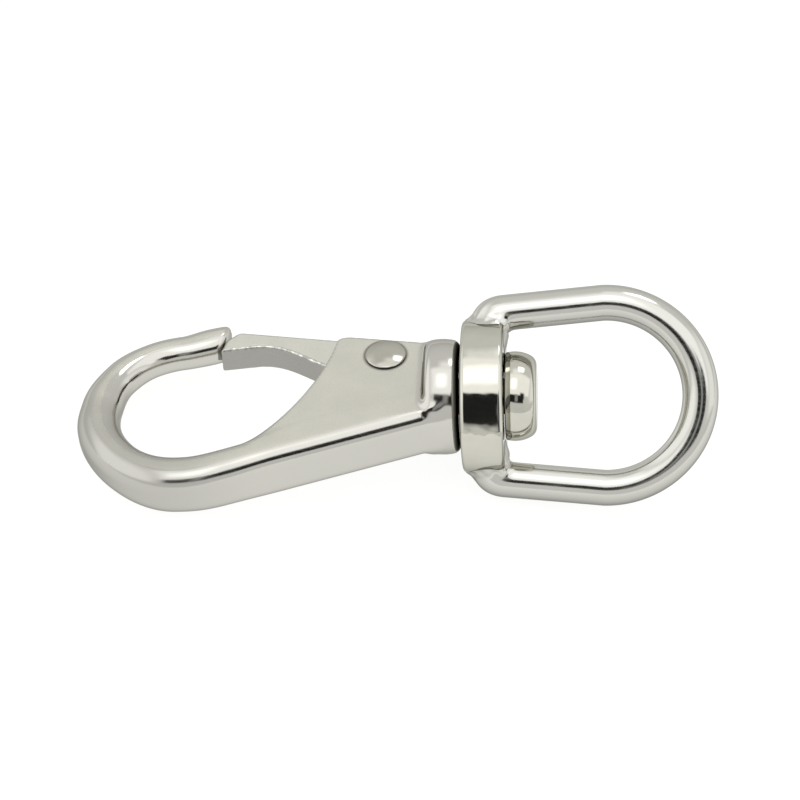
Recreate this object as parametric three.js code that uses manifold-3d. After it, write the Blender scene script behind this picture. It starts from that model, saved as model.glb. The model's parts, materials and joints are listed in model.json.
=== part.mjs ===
// Swivel-eye spring snap hook in polished stainless steel, millimetres, +Z up.
//
// The pieces are drawn in the hook's own frame: X along the swivel axis towards the bail,
// Y towards the gate, Z square to the flat cheeks. The whole hook is then tipped by REST_PITCH,
// because it lies on its loop at one end and on the swivel ring's rim at the other, and the bail
// is swung about the swivel axis by BAIL_SWING, until its lower leg nearly meets the surface.

import * as THREE from 'three';
import { mergeVertices } from 'three/addons/utils/BufferGeometryUtils.js';
import Module from 'manifold-3d';

const wasm = await Module();
wasm.setup();

// ---- how the hook lies at rest, in degrees ----
const REST_PITCH = 8.16;
const BAIL_SWING = 47.5;

// ---- clearances ----
const RUN_GAP = 0.2; // turning or sliding fits
const SEAT_GAP = 0.08; // faces that sit on each other

// ---- hook body: cheeks, spine and loop ----
const CHEEK_HALF = 4.1; // half the width across the flat cheeks
const SLOT_HALF = 2.3; // half the slot that the gate swings in
const SLOT_FLOOR = 0.1; // stops the gate when it is fully open
const SPINE_ANGLE = 20.4; // degrees between the spine and the swivel axis
const LOOP_START = [-28, -14.05]; // where the straight spine runs into the bend
const LOOP_LOW = [-38.94, -17.0]; // the loop's lowest point, on the bar's centreline
const LOOP_FAR = [-50.67, -4.29]; // the loop's outermost point
const BROW = [-40.2, 9.4]; // where the bar starts to swing up to the nose
const NOSE_END = [-33.1, 11.6]; // the bar's end before the nose is cut slanting
const THROAT_TOP = [-17.9, 7.3]; // cheek corner beside the gate
const THROAT_FOOT = [-31.9, -13.5]; // where the throat runs into the loop
const CHEEK_CREST = [-15.6, 8.1]; // highest point of the cheeks' gate side
const BAR_SIDES = 24;
const BAR_STEPS = 46;

// ---- swivel: neck, pin, ring ----
const NECK_RADIUS = 8.08;
const NECK_BACK = -5.2;
const NECK_FRONT = -0.35;
const RING_RADIUS = 10.6;
const RING_BACK = -0.05;
const RING_FRONT = 5.8;
const PIN_RADIUS = 2.5;
const PIN_HEAD_RADIUS = 6.25;
const PIN_HEAD_BACK = 6.02;
const PIN_HEAD_FRONT = 10.25;
const TAIL_RADIUS = 2.85; // peened tail in its counterbore at the slot's end
const TAIL_BACK = -7.4;
const TAIL_FRONT = -6.1;

// ---- gate, its rivet and its spring ----
const PIVOT = [-10.85, 4.25];
const GATE_HALF = 2.05;
const HUB_RADIUS = 3.3;
const FORK_HALF = 1.4; // half the gap in the gate's hub that holds the spring
const GATE_TOE = [-34.5, 7.7]; // lower end of the gate's slanting face, which rests against the nose
const GATE_BROW = [-33.85, 9.95]; // upper end of that face
const GATE_BEVEL = [-32.8, 10.95];
const GATE_CREST = [-31.7, 11.5]; // highest point of the gate
const RIVET_RADIUS = 1.25;
const RIVET_HEAD_RADIUS = 2.88;
const RIVET_HEAD_HEIGHT = 0.8;
const WIRE_RADIUS = 0.3;
const COIL_RADIUS = 1.95;
const COIL_PITCH = 0.68;
const WHOLE_TURNS = 3;
const LONG_LEG_ANGLE = 250; // where the coil leaves for each leg, in degrees round the rivet
const SHORT_LEG_ANGLE = 180;
const LONG_LEG = 6.2;
const SHORT_LEG = 4.0;

// ---- bail ----
const ROD_RADIUS = 2.5;
const ELBOW_X = 3.6; // rod end's centre, above the ring's rim
const LEG_NEAR = 11.4; // half distance between the legs at the elbows
const LEG_FAR = 12.85; // half distance between the legs where the bow starts
const BOW_START = 19.5;
const BOW_END = 32.9; // rod's centre at the far end of the bow
const WELD_RADIUS = 3.25;
const WELD_HEIGHT = 0.9;

const ROUND = 32; // sides of the turned pieces

// ---- solids ----

function solidFrom(geometry) {
  const bare = geometry.clone();
  bare.deleteAttribute('normal');
  bare.deleteAttribute('uv');
  const merged = mergeVertices(bare, 1e-4);
  const index = merged.getIndex().array;
  const kept = [];
  for (let i = 0; i < index.length; i += 3) {
    const [a, b, c] = [index[i], index[i + 1], index[i + 2]];
    if (a !== b && b !== c && c !== a) kept.push(a, b, c);
  }
  return new wasm.Manifold(
    new wasm.Mesh({
      numProp: 3,
      vertProperties: new Float32Array(merged.attributes.position.array),
      triVerts: new Uint32Array(kept),
    }),
  );
}

function geometryFrom(solid) {
  const mesh = solid.getMesh();
  const geometry = new THREE.BufferGeometry();
  geometry.setAttribute('position', new THREE.BufferAttribute(new Float32Array(mesh.vertProperties), 3));
  geometry.setIndex(new THREE.BufferAttribute(new Uint32Array(mesh.triVerts), 1));
  geometry.computeVertexNormals();
  return geometry;
}

// A turned solid about the X axis: pairs of [x, radius] that start and end on the axis.
function turnedOnX(pairs, sides = ROUND) {
  const points = pairs.map(([x, radius]) => new THREE.Vector2(radius, x));
  const geometry = new THREE.LatheGeometry(points, sides);
  geometry.rotateZ(-Math.PI / 2);
  return solidFrom(geometry);
}

// A turned solid about an upright axis through the gate's pivot: pairs of [z, radius].
function turnedOnPivot(pairs, sides = ROUND) {
  const points = pairs.map(([z, radius]) => new THREE.Vector2(radius, z));
  const geometry = new THREE.LatheGeometry(points, sides);
  geometry.rotateX(Math.PI / 2);
  geometry.translate(PIVOT[0], PIVOT[1], 0);
  return solidFrom(geometry);
}

// A flat plate from -half to +half in Z.
function plate(shape, half, curveSegments = 10) {
  const geometry = new THREE.ExtrudeGeometry(shape, { depth: 2 * half, bevelEnabled: false, curveSegments });
  geometry.translate(0, 0, -half);
  return solidFrom(geometry);
}

function block(low, high) {
  const size = high.map((value, axis) => value - low[axis]);
  const geometry = new THREE.BoxGeometry(...size);
  geometry.translate(low[0] + size[0] / 2, low[1] + size[1] / 2, low[2] + size[2] / 2);
  return solidFrom(geometry);
}

// ---- the hook body ----

const spineDirection = new THREE.Vector2(
  -Math.cos(THREE.MathUtils.degToRad(SPINE_ANGLE)),
  -Math.sin(THREE.MathUtils.degToRad(SPINE_ANGLE)),
);

function planePoint([x, y], along = 0) {
  return new THREE.Vector3(x + spineDirection.x * along, y + spineDirection.y * along, 0);
}

// Centreline of the bar: straight spine, wide bend, and back over the top to the nose.
function barCentreline() {
  const path = new THREE.CurvePath();
  const low = planePoint(LOOP_LOW);
  const far = planePoint(LOOP_FAR);
  const brow = planePoint(BROW);
  path.add(new THREE.LineCurve3(planePoint(LOOP_START, -25), planePoint(LOOP_START)));
  path.add(new THREE.CubicBezierCurve3(
    planePoint(LOOP_START),
    planePoint(LOOP_START, 6.4),
    new THREE.Vector3(LOOP_LOW[0] + 3.8, LOOP_LOW[1], 0),
    low,
  ));
  path.add(new THREE.CubicBezierCurve3(
    low,
    new THREE.Vector3(LOOP_LOW[0] - 5.7, LOOP_LOW[1], 0),
    new THREE.Vector3(LOOP_FAR[0], LOOP_FAR[1] - 6.4, 0),
    far,
  ));
  path.add(new THREE.CubicBezierCurve3(
    far,
    new THREE.Vector3(LOOP_FAR[0], LOOP_FAR[1] + 9, 0),
    new THREE.Vector3(BROW[0] - 5, BROW[1] - 0.9, 0),
    brow,
  ));
  path.add(new THREE.CubicBezierCurve3(
    brow,
    new THREE.Vector3(BROW[0] + 1.8, BROW[1] + 0.33, 0),
    new THREE.Vector3(-36.8, 10.7, 0),
    planePoint(NOSE_END),
  ));
  return path;
}

// The bar's section at stations along its length: [share of length, width, depth, corner radius].
const BAR_SECTIONS = [
  [0.0, 5.4, 8.14, 2.4],
  [0.28, 5.4, 8.14, 2.4],
  [0.37, 5.6, 7.9, 2.45],
  [0.45, 5.95, 7.6, 2.6],
  [0.56, 5.75, 6.9, 2.75],
  [0.65, 6.0, 6.5, 2.85],
  [0.71, 5.65, 6.0, 2.75],
  [0.785, 4.9, 5.2, 2.4],
  [0.855, 4.7, 4.75, 2.3],
  [0.91, 4.7, 4.7, 2.3],
  [0.96, 5.0, 4.9, 2.4],
  [1.0, 4.4, 4.4, 2.15],
];

function barSection(share) {
  let next = 1;
  while (next < BAR_SECTIONS.length - 1 && share > BAR_SECTIONS[next][0]) next += 1;
  const from = BAR_SECTIONS[next - 1];
  const to = BAR_SECTIONS[next];
  const blend = THREE.MathUtils.smoothstep(share, from[0], to[0]);
  const [width, depth, corner] = [1, 2, 3].map((k) => THREE.MathUtils.lerp(from[k], to[k], blend));
  return { width, depth, corner };
}

// A round stick, bent along the centreline, with its section pushed out to a rounded rectangle.
function bentBar() {
  const path = barCentreline();
  const geometry = new THREE.CylinderGeometry(1, 1, 1, BAR_SIDES, BAR_STEPS);
  const position = geometry.attributes.position;
  const stick = new THREE.Vector3();
  for (let i = 0; i < position.count; i += 1) {
    stick.fromBufferAttribute(position, i);
    const share = THREE.MathUtils.clamp(stick.y + 0.5, 0, 1);
    const { width, depth, corner } = barSection(share);
    const centre = path.getPointAt(share);
    const tangent = path.getTangentAt(share);
    const side = (value, half) => (Math.abs(value) < 1e-6 ? 0 : Math.sign(value) * (half - corner) + value * corner);
    const across = side(stick.x, width / 2);
    const up = side(stick.z, depth / 2);
    position.setXYZ(i, centre.x + tangent.y * across, centre.y - tangent.x * across, up);
  }
  return solidFrom(geometry);
}

// Both cheeks and the web between them, from the neck to the foot of the throat.
function webPlate() {
  const shape = new THREE.Shape();
  shape.moveTo(NECK_BACK + 1, 6.7);
  shape.lineTo(...CHEEK_CREST);
  shape.quadraticCurveTo(-17.4, 8.3, ...THROAT_TOP);
  shape.bezierCurveTo(-19.15, 0.2, -23.95, -9.6, ...THROAT_FOOT);
  shape.lineTo(LOOP_START[0], LOOP_START[1]);
  shape.lineTo(-11, -7.6);
  shape.lineTo(NECK_BACK + 1, -6.4);
  shape.closePath();
  return plate(shape, CHEEK_HALF);
}

function neck() {
  return turnedOnX([
    [NECK_BACK, 0],
    [NECK_BACK, NECK_RADIUS - 0.3],
    [NECK_BACK + 0.4, NECK_RADIUS],
    [NECK_FRONT - 0.7, NECK_RADIUS],
    [NECK_FRONT - 0.2, NECK_RADIUS - 0.2],
    [NECK_FRONT, NECK_RADIUS - 0.7],
    [NECK_FRONT, 0],
  ], 40);
}

// The slot lets the gate swing in until its underside meets the slot's floor, and it is deeper
// behind the swivel pin's peened tail.
function gateSlot() {
  const shape = new THREE.Shape();
  shape.moveTo(TAIL_BACK - 0.05, 14);
  shape.lineTo(TAIL_BACK - 0.05, -3.1);
  shape.lineTo(TAIL_BACK - 2.4, -3.1);
  shape.lineTo(-11.5, SLOT_FLOOR);
  shape.lineTo(-24, SLOT_FLOOR);
  shape.lineTo(-24, 14);
  shape.closePath();
  return plate(shape, SLOT_HALF);
}

// The nose is cut slanting, so that the gate comes to rest against it from inside.
function noseCut() {
  const across = new THREE.Vector2(GATE_BROW[0] - GATE_TOE[0], GATE_BROW[1] - GATE_TOE[1]).normalize();
  const away = new THREE.Vector2(-across.y, across.x).multiplyScalar(RUN_GAP);
  const start = new THREE.Vector2(...GATE_TOE).add(away);
  const shape = new THREE.Shape();
  shape.moveTo(start.x - across.x * 5, start.y - across.y * 5);
  shape.lineTo(start.x + across.x * 7, start.y + across.y * 7);
  shape.lineTo(start.x + 12, start.y - across.y * 5);
  shape.closePath();
  return plate(shape, 6);
}

function pinBore() {
  const radius = PIN_RADIUS + SEAT_GAP;
  const tail = TAIL_RADIUS + SEAT_GAP;
  return turnedOnX([
    [TAIL_BACK - 0.6, 0],
    [TAIL_BACK - 0.6, tail],
    [TAIL_FRONT + SEAT_GAP, tail],
    [TAIL_FRONT + SEAT_GAP, radius],
    [NECK_FRONT + 1, radius],
    [NECK_FRONT + 1, 0],
  ]);
}

function rivetBore() {
  const radius = RIVET_RADIUS + SEAT_GAP;
  return turnedOnPivot([[-6, 0], [-6, radius], [6, radius], [6, 0]], 24);
}

function hookBody() {
  const raw = bentBar().subtract(noseCut()).add(webPlate()).add(neck());
  return geometryFrom(raw.subtract(gateSlot()).subtract(pinBore()).subtract(rivetBore()));
}

// ---- the gate ----

function gateOutline() {
  const shape = new THREE.Shape();
  shape.moveTo(...GATE_TOE);
  shape.lineTo(...GATE_BROW);
  shape.lineTo(...GATE_BEVEL);
  shape.quadraticCurveTo(-32.25, 11.5, ...GATE_CREST);
  shape.lineTo(-17.7, 9.65);
  shape.quadraticCurveTo(-12.8, 9.3, PIVOT[0] + HUB_RADIUS * Math.cos(1), PIVOT[1] + HUB_RADIUS * Math.sin(1));
  shape.absarc(PIVOT[0], PIVOT[1], HUB_RADIUS, 1, -2.2, true);
  shape.lineTo(-18.4, 3.9);
  shape.bezierCurveTo(-22.6, 5.6, -24.6, 8.5, -29.0, 8.45);
  shape.lineTo(-31.67, 8.1);
  shape.closePath();
  return shape;
}

// The hub is forked for the spring's coil, and the pocket's slanting roof takes the spring's long leg.
function springPocket() {
  const shape = new THREE.Shape();
  shape.moveTo(-6, 14);
  shape.lineTo(-6, -4);
  shape.lineTo(-17.9, -4);
  shape.lineTo(-17.6, 5.1);
  shape.lineTo(-13.6, 3.65);
  shape.lineTo(-13.6, 14);
  shape.closePath();
  return plate(shape, FORK_HALF);
}

function gate() {
  const radius = RIVET_RADIUS + RUN_GAP;
  const bore = turnedOnPivot([[-6, 0], [-6, radius], [6, radius], [6, 0]], 24);
  return geometryFrom(plate(gateOutline(), GATE_HALF, 12).subtract(springPocket()).subtract(bore));
}

function rivet() {
  const seat = CHEEK_HALF + SEAT_GAP;
  const half = [[seat, RIVET_RADIUS], [seat, RIVET_HEAD_RADIUS - 0.1], [seat + 0.3, RIVET_HEAD_RADIUS]];
  for (let step = 1; step < 4; step += 1) {
    const angle = (step / 4) * (Math.PI / 2);
    const height = seat + 0.3 + (RIVET_HEAD_HEIGHT - 0.3) * Math.sin(angle);
    half.push([height, RIVET_HEAD_RADIUS * Math.cos(angle)]);
  }
  half.push([seat + RIVET_HEAD_HEIGHT, 0]);
  const mirrored = half.map(([z, radius]) => [-z, radius]).reverse();
  return geometryFrom(turnedOnPivot([...mirrored, ...half], 24));
}

// Torsion spring round the rivet: its long leg lifts the gate, its short leg stands on the slot's floor.
class SpringLine extends THREE.Curve {
  getPoint(share, target = new THREE.Vector3()) {
    const start = THREE.MathUtils.degToRad(LONG_LEG_ANGLE);
    const end = THREE.MathUtils.degToRad(SHORT_LEG_ANGLE + 360 * WHOLE_TURNS);
    const coilLength = (end - start) * COIL_RADIUS;
    const along = share * (LONG_LEG + coilLength + SHORT_LEG);
    const inCoil = THREE.MathUtils.clamp((along - LONG_LEG) / coilLength, 0, 1);
    const angle = THREE.MathUtils.lerp(start, end, inCoil);
    const before = Math.max(0, LONG_LEG - along);
    const after = Math.max(0, along - LONG_LEG - coilLength);
    const height = ((inCoil - 0.5) * (end - start) * COIL_PITCH) / (2 * Math.PI);
    return target.set(
      PIVOT[0] + COIL_RADIUS * Math.cos(angle) + before * Math.sin(start) - after * Math.sin(end),
      PIVOT[1] + COIL_RADIUS * Math.sin(angle) - before * Math.cos(start) + after * Math.cos(end),
      height,
    );
  }
}

function spring() {
  const section = new THREE.Shape();
  section.absarc(0, 0, WIRE_RADIUS, 0, 2 * Math.PI, false);
  const geometry = new THREE.ExtrudeGeometry(section, {
    steps: 64,
    curveSegments: 4,
    bevelEnabled: false,
    extrudePath: new SpringLine(),
  });
  return geometryFrom(solidFrom(geometry));
}

// ---- the swivel ----

function swivelPin() {
  const edge = 1.6;
  const profile = [
    [TAIL_BACK, 0],
    [TAIL_BACK, TAIL_RADIUS - 0.5],
    [TAIL_BACK + 0.5, TAIL_RADIUS],
    [TAIL_FRONT, TAIL_RADIUS],
    [TAIL_FRONT, PIN_RADIUS],
    [PIN_HEAD_BACK, PIN_RADIUS],
    [PIN_HEAD_BACK, PIN_HEAD_RADIUS - 0.5],
    [PIN_HEAD_BACK + 0.5, PIN_HEAD_RADIUS],
  ];
  for (let step = 0; step <= 5; step += 1) {
    const angle = (step / 5) * (Math.PI / 2);
    profile.push([
      PIN_HEAD_FRONT - edge + edge * Math.sin(angle),
      PIN_HEAD_RADIUS - edge + edge * Math.cos(angle),
    ]);
  }
  profile.push([PIN_HEAD_FRONT, 0]);
  return geometryFrom(turnedOnX(profile));
}

function swivelRing() {
  const bore = PIN_RADIUS + RUN_GAP;
  const edge = 0.6;
  const ring = turnedOnX([
    [RING_BACK, 0],
    [RING_BACK, RING_RADIUS - edge],
    [RING_BACK + 0.2, RING_RADIUS - 0.2],
    [RING_BACK + edge, RING_RADIUS],
    [RING_FRONT - edge, RING_RADIUS],
    [RING_FRONT - 0.2, RING_RADIUS - 0.2],
    [RING_FRONT, RING_RADIUS - edge],
    [RING_FRONT, 0],
  ], 48);
  const hole = turnedOnX([[RING_BACK - 1, 0], [RING_BACK - 1, bore], [RING_FRONT + 1, bore], [RING_FRONT + 1, 0]]);
  return geometryFrom(ring.subtract(hole));
}

// ---- the bail, drawn flat in XY and swung afterwards ----

function bailCentreline() {
  const path = new THREE.CurvePath();
  const corner = (side) => new THREE.Vector3(ELBOW_X, side * LEG_NEAR, 0);
  const shoulder = (side) => new THREE.Vector3(BOW_START, side * LEG_FAR, 0);
  const slope = (LEG_FAR - LEG_NEAR) / (BOW_START - ELBOW_X);
  const reach = 7.3;
  const lean = (side) => new THREE.Vector3(BOW_START + reach, side * (LEG_FAR + slope * 2), 0);
  const crown = new THREE.Vector3(BOW_END, 0, 0);
  const beside = (side) => new THREE.Vector3(BOW_END, side * reach, 0);
  path.add(new THREE.LineCurve3(corner(-1), shoulder(-1)));
  path.add(new THREE.CubicBezierCurve3(shoulder(-1), lean(-1), beside(-1), crown));
  path.add(new THREE.CubicBezierCurve3(crown, beside(1), lean(1), shoulder(1)));
  path.add(new THREE.LineCurve3(shoulder(1), corner(1)));
  return path;
}

const RIM_GAP_RADIUS = RING_RADIUS + SEAT_GAP;

function rimCutter() {
  const front = RING_FRONT + 1;
  return turnedOnX([[-2, 0], [-2, RIM_GAP_RADIUS], [front, RIM_GAP_RADIUS], [front, 0]], 48);
}

// The rod's end: a rounded elbow that leans down on to the ring's rim.
function elbow(side, radius = ROD_RADIUS) {
  const knee = new THREE.SphereGeometry(radius, 16, 12);
  knee.translate(ELBOW_X, side * LEG_NEAR, 0);
  const foot = new THREE.CylinderGeometry(radius, radius, ROD_RADIUS, 16);
  foot.translate(ELBOW_X, side * (LEG_NEAR - ROD_RADIUS / 2), 0);
  return solidFrom(knee).add(solidFrom(foot));
}

function bailSolid() {
  const section = new THREE.Shape();
  section.absarc(0, 0, ROD_RADIUS, 0, 2 * Math.PI, false);
  const rod = new THREE.ExtrudeGeometry(section, {
    steps: 44,
    curveSegments: 8,
    bevelEnabled: false,
    extrudePath: bailCentreline(),
  });
  return solidFrom(rod).add(elbow(-1)).add(elbow(1)).subtract(rimCutter());
}

// A bead of weld round the rod's end, on the ring's rim.
function weld(side) {
  const base = RIM_GAP_RADIUS - 0.7;
  const points = [
    new THREE.Vector2(0, base),
    new THREE.Vector2(WELD_RADIUS, base),
    new THREE.Vector2(WELD_RADIUS, RIM_GAP_RADIUS + 0.25),
    new THREE.Vector2(WELD_RADIUS - 0.5, RIM_GAP_RADIUS + WELD_HEIGHT),
    new THREE.Vector2(0, RIM_GAP_RADIUS + WELD_HEIGHT),
  ];
  const bead = new THREE.LatheGeometry(points, 20);
  if (side < 0) bead.rotateX(Math.PI);
  bead.translate(ELBOW_X, 0, 0);
  const inRing = solidFrom(bead)
    .intersect(block([0.4, -20, -20], [RING_FRONT + 0.3, 20, 20]))
    .subtract(rimCutter());
  const leg = new THREE.CylinderGeometry(ROD_RADIUS + SEAT_GAP, ROD_RADIUS + SEAT_GAP, 8, 20);
  leg.rotateZ(Math.PI / 2);
  leg.translate(ELBOW_X + 4, side * LEG_NEAR, 0);
  return geometryFrom(inRing.subtract(elbow(side, ROD_RADIUS + SEAT_GAP)).subtract(solidFrom(leg)));
}

// ---- materials and assembly ----

function steel(colour, roughness) {
  return new THREE.MeshStandardMaterial({ color: colour, roughness, metalness: 1 });
}

function piece(name, geometry, material) {
  const mesh = new THREE.Mesh(geometry, material);
  mesh.name = name;
  return mesh;
}

const hook = new THREE.Group();
hook.add(piece('hook_body', hookBody(), steel(0xc9c8bf, 0.28)));
hook.add(piece('gate', gate(), steel(0xc4c3ba, 0.3)));
hook.add(piece('gate_rivet', rivet(), steel(0xd2d1c8, 0.2)));
hook.add(piece('gate_spring', spring(), steel(0xb4b4ac, 0.3)));
hook.add(piece('swivel_pin', swivelPin(), steel(0xd0cfc6, 0.12)));
hook.add(piece('swivel_ring', swivelRing(), steel(0xcfcec5, 0.12)));

const eye = new THREE.Group();
eye.add(piece('bail', geometryFrom(bailSolid()), steel(0xcac9c0, 0.16)));
eye.add(piece('bail_weld_far', weld(1), steel(0xc0bfb6, 0.3)));
eye.add(piece('bail_weld_near', weld(-1), steel(0xc0bfb6, 0.3)));
eye.rotation.x = THREE.MathUtils.degToRad(BAIL_SWING);
hook.add(eye);
hook.rotation.y = -THREE.MathUtils.degToRad(REST_PITCH);

// The row's origin is the middle of the object's footprint, on the surface that it lies on.
const row = new THREE.Group();
row.add(hook);
row.updateMatrixWorld(true);
const extent = new THREE.Box3().setFromObject(row, true);
const centre = extent.getCenter(new THREE.Vector3());
hook.position.set(-centre.x, -centre.y, -extent.min.z);

export default row;
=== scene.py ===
"""Looks for a swivel-eye snap hook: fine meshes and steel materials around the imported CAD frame.

Shapes are worked out in the hook's own frame, in millimetres: X along the swivel axis towards the eye,
Y towards the gate, Z square to the flat cheeks. hook_to_row carries them into the row frame, in metres.
"""
import json
import math

import bpy
import numpy as np
from mathutils import Matrix, Vector


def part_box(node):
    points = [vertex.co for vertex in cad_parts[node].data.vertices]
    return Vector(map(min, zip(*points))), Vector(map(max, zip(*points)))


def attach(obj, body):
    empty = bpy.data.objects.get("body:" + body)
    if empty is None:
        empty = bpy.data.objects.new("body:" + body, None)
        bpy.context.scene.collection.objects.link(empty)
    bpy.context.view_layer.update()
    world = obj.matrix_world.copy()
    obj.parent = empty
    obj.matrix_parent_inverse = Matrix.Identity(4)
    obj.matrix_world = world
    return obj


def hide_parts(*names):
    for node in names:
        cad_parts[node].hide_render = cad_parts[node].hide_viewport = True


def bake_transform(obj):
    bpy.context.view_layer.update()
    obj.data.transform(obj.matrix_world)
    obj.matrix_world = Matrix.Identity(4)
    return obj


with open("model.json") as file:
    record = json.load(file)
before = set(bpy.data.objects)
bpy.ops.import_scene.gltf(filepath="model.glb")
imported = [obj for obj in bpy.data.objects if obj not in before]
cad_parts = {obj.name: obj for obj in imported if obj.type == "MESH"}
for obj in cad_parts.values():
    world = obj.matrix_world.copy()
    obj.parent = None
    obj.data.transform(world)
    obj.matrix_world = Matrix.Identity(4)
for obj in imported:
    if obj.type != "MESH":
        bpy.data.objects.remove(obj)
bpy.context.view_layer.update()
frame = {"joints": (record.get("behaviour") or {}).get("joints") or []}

MM = 0.001

# ---- the hook's own frame, from the two joints ----


def joint(name):
    """The frame's joint of that name."""
    return next(j for j in frame["joints"] if j["name"] == name)


def hook_matrix():
    """From the hook's own frame to the row frame: the origin is on the swivel axis, at the ring's back."""
    x = Vector(joint("eye_swivel")["axis"]).normalized()
    z = Vector(joint("gate_hinge")["axis"]).normalized()
    y = z.cross(x)
    turn = Matrix((x, y, z)).transposed().to_4x4()
    return Matrix.Translation(joint("eye_swivel")["pos_m"]) @ turn @ Matrix.Scale(MM, 4)


hook_to_row = hook_matrix()
row_to_hook = hook_to_row.inverted()
PIVOT = (row_to_hook @ Vector(joint("gate_hinge")["pos_m"])).xy

# ---- driving dimensions, mm ----

CHEEK_HALF = 4.1
CHEEK_EDGE = 0.3
SLOT_HALF = 2.3
SLOT_FLOOR = 0.1
SPINE_ANGLE = math.radians(20.4)
LOOP_START = (-28.0, -14.05)
LOOP_LOW = (-38.94, -17.0)
LOOP_FAR = (-50.67, -4.29)
BROW = (-40.2, 9.4)
NOSE_END = (-33.1, 11.6)
SPINE_BACK = 25.6
THROAT_TOP = (-17.9, 7.3)
THROAT_FOOT = (-31.9, -13.5)
CHEEK_CREST = (-15.6, 8.1)
# Along the bar: share of its length, width, depth, corner radius.
BAR_SECTIONS = [
    (0.0, 5.4, 8.3, 2.4),
    (0.28, 5.4, 8.3, 2.4),
    (0.37, 5.6, 7.95, 2.45),
    (0.45, 5.95, 7.6, 2.6),
    (0.56, 5.75, 6.9, 2.75),
    (0.65, 6.0, 6.5, 2.85),
    (0.71, 5.65, 6.0, 2.75),
    (0.785, 4.9, 5.2, 2.4),
    (0.855, 4.7, 4.75, 2.3),
    (0.91, 4.7, 4.7, 2.3),
    (0.96, 5.05, 4.95, 2.4),
    (1.0, 5.0, 4.8, 2.35),
]
NECK_RADIUS = 8.08
NECK_BACK = -5.2
NECK_FRONT = -0.35
NECK_CROWN = 0.4
RING_RADIUS = 10.6
RING_BACK = -0.05
RING_FRONT = 5.8
RING_BORE = 2.7
PIN_RADIUS = 2.5
PIN_HEAD_RADIUS = 6.25
PIN_HEAD_BACK = 5.92
PIN_HEAD_FRONT = 10.25
PIN_HEAD_MIDDLE = PIN_HEAD_BACK + 1.3
PIN_HEAD_CROWN = 4.5
PIN_BACK_EDGE = 0.3
PIN_FRONT_EDGE = 1.6
TAIL_RADIUS = 2.85
TAIL_EDGE = 0.5
TAIL_BACK = -7.4
TAIL_FRONT = -6.1
GATE_HALF = 2.05
HUB_RADIUS = 3.3
FORK_HALF = 1.4
GATE_TOE = (-34.5, 7.7)
GATE_BROW = (-33.85, 9.95)
GATE_BEVEL = (-32.8, 10.95)
GATE_CREST = (-31.7, 11.5)
NOSE_GAP = 0.2
NOSE_CUT_FLOOR = 3.0
RIVET_RADIUS = 1.25
RIVET_HEAD_RADIUS = 2.88
RIVET_RIM = 0.18
RIVET_DOME = 0.6
WIRE_RADIUS = 0.3
COIL_RADIUS = 1.95
COIL_PITCH = 0.68
LONG_LEG = 6.2
SHORT_LEG = 4.0
LONG_LEG_ANGLE = math.radians(250)
SHORT_LEG_ANGLE = math.radians(180 + 3 * 360)
ROD_RADIUS = 2.5
ELBOW_X = 3.6
LEG_NEAR = 11.4
LEG_FAR = 12.85
BOW_START = 19.5
BOW_END = 32.9
RING_EDGE = 0.6
FIT_GAP = 0.08
# How softly the casting's parts run into each other.
END_SOFTNESS = 1.2
NOSE_SOFTNESS = 0.9
FACE_SOFTNESS = 0.1
SLOT_SOFTNESS = 0.2
WEB_JOIN = 1.2
NECK_JOIN = 1.4
NECK_EDGE = 0.9
# Towards the loop, between these distances from the ring, the web thins and rounds, and its join tightens.
WEB_FADE = (20, 32)
WEB_THINNING = 0.25
WEB_ROUNDING = 1.4
JOIN_FADE = (23, 31)
TAIL_RECESS = 1.3
GATE_EDGE = 0.38
FORK_SOFTNESS = 0.15
HUB_GAP = 0.2
# The weld: its fillet, its lumpy bead, how far it spreads from the rod and how deep it goes in the ring.
FILLET = 1.0
BEAD_HEIGHT = 0.45
BEAD_REACH = 0.9
BEAD_WAVES = ((2.9, 1), (2.3, 0.5), (3.1, 2))
WELD_SPREAD = 1.7
WELD_DEPTH = 0.5
SKIN = 0.03
# Mesh spacing and the number of sides on turned and swept pieces.
CAST_STEP = 0.22
GATE_STEP = 0.16
BAIL_STEP = 0.2
RIVET_SIDES = 72
PIN_SIDES = 96
RING_SIDES = 144
WIRE_SIDES = 14

# ---- small geometry helpers ----


def smooth_min(a, b, width):
    """The lower of two fields, rounded where they cross within width of each other."""
    mix = np.clip(0.5 + 0.5 * (b - a) / width, 0, 1)
    return b * (1 - mix) + a * mix - width * mix * (1 - mix)


def smooth_max(a, b, width):
    """The higher of two fields, rounded where they cross."""
    return -smooth_min(-a, -b, width)


def smooth_step(value, low, high):
    """0 below low and 1 above high, with an eased rise between."""
    t = np.clip((value - low) / (high - low), 0, 1)
    return t * t * (3 - 2 * t)


def round_box(u, v, half_u, half_v, radius):
    """Distance to a rectangle with rounded corners, in its own plane."""
    over_u = np.abs(u) - half_u + radius
    over_v = np.abs(v) - half_v + radius
    outside = np.hypot(np.maximum(over_u, 0), np.maximum(over_v, 0))
    return outside + np.minimum(np.maximum(over_u, over_v), 0) - radius


def bezier(points, count):
    """count points along a Bezier curve of degree 2 or 3, without its last point."""
    degree = len(points) - 1
    t = np.linspace(0, 1, count, endpoint=False)[:, None]
    weights = [math.comb(degree, i) * t**i * (1 - t) ** (degree - i) for i in range(degree + 1)]
    return sum(weight * np.array(point, float) for weight, point in zip(weights, points))


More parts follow.
